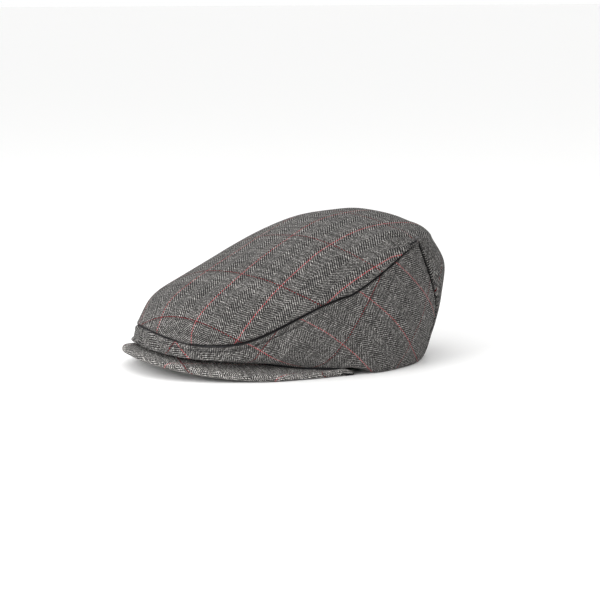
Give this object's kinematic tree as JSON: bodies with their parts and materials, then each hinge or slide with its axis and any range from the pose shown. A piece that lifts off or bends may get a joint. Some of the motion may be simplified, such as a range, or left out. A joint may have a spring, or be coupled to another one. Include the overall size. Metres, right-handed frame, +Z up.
{
  "type": "flat cap",
  "caption": "Woollen flat cap with a three-piece crown snapped down over a short stiffened peak, fully lined, with a sweatband.",
  "frame": {"origin": "centre of the head opening on the plane that the cap stands on", "axes": "-Y is the wearer's front, +X the wearer's left, +Z up"},
  "size_m": [0.184, 0.2608, 0.1177],
  "materials": {
    "tweed": "woollen herringbone with a thin red overcheck",
    "canvas": "fused canvas",
    "satin": "satin lining",
    "band": "ribbed cotton band",
    "ribbon": "grosgrain ribbon",
    "tape": "cotton stay tape",
    "label": "blank woven label",
    "felt": "felt",
    "board": "moulded sheet",
    "snap_metal": "blackened press stud"
  },
  "bodies": {
    "head_ring": {"sweatband": "band", "nape_strip": "ribbon", "size_label": "label", "peak_top_cover": "tweed", "peak_under_cover": "tweed", "peak_felt": "felt", "peak_board": "board", "snap_stud": "snap_metal", "snap_stud_plate": "snap_metal"},
    "crown": {"top_panel": "tweed", "left_side_panel": "tweed", "right_side_panel": "tweed", "top_interlining": "canvas", "left_interlining": "canvas", "right_interlining": "canvas", "top_lining": "satin", "left_lining": "satin", "right_lining": "satin", "stay_tape": "tape", "snap_socket": "snap_metal", "snap_socket_plate": "snap_metal"}
  },
  "joints": [
    {"name": "crown_lift", "type": "hinge", "parent": "head_ring", "child": "crown", "pos_m": [0, 0.096, 0], "axis": [-1, 0, 0], "range_deg": [0, 4]}
  ]
}
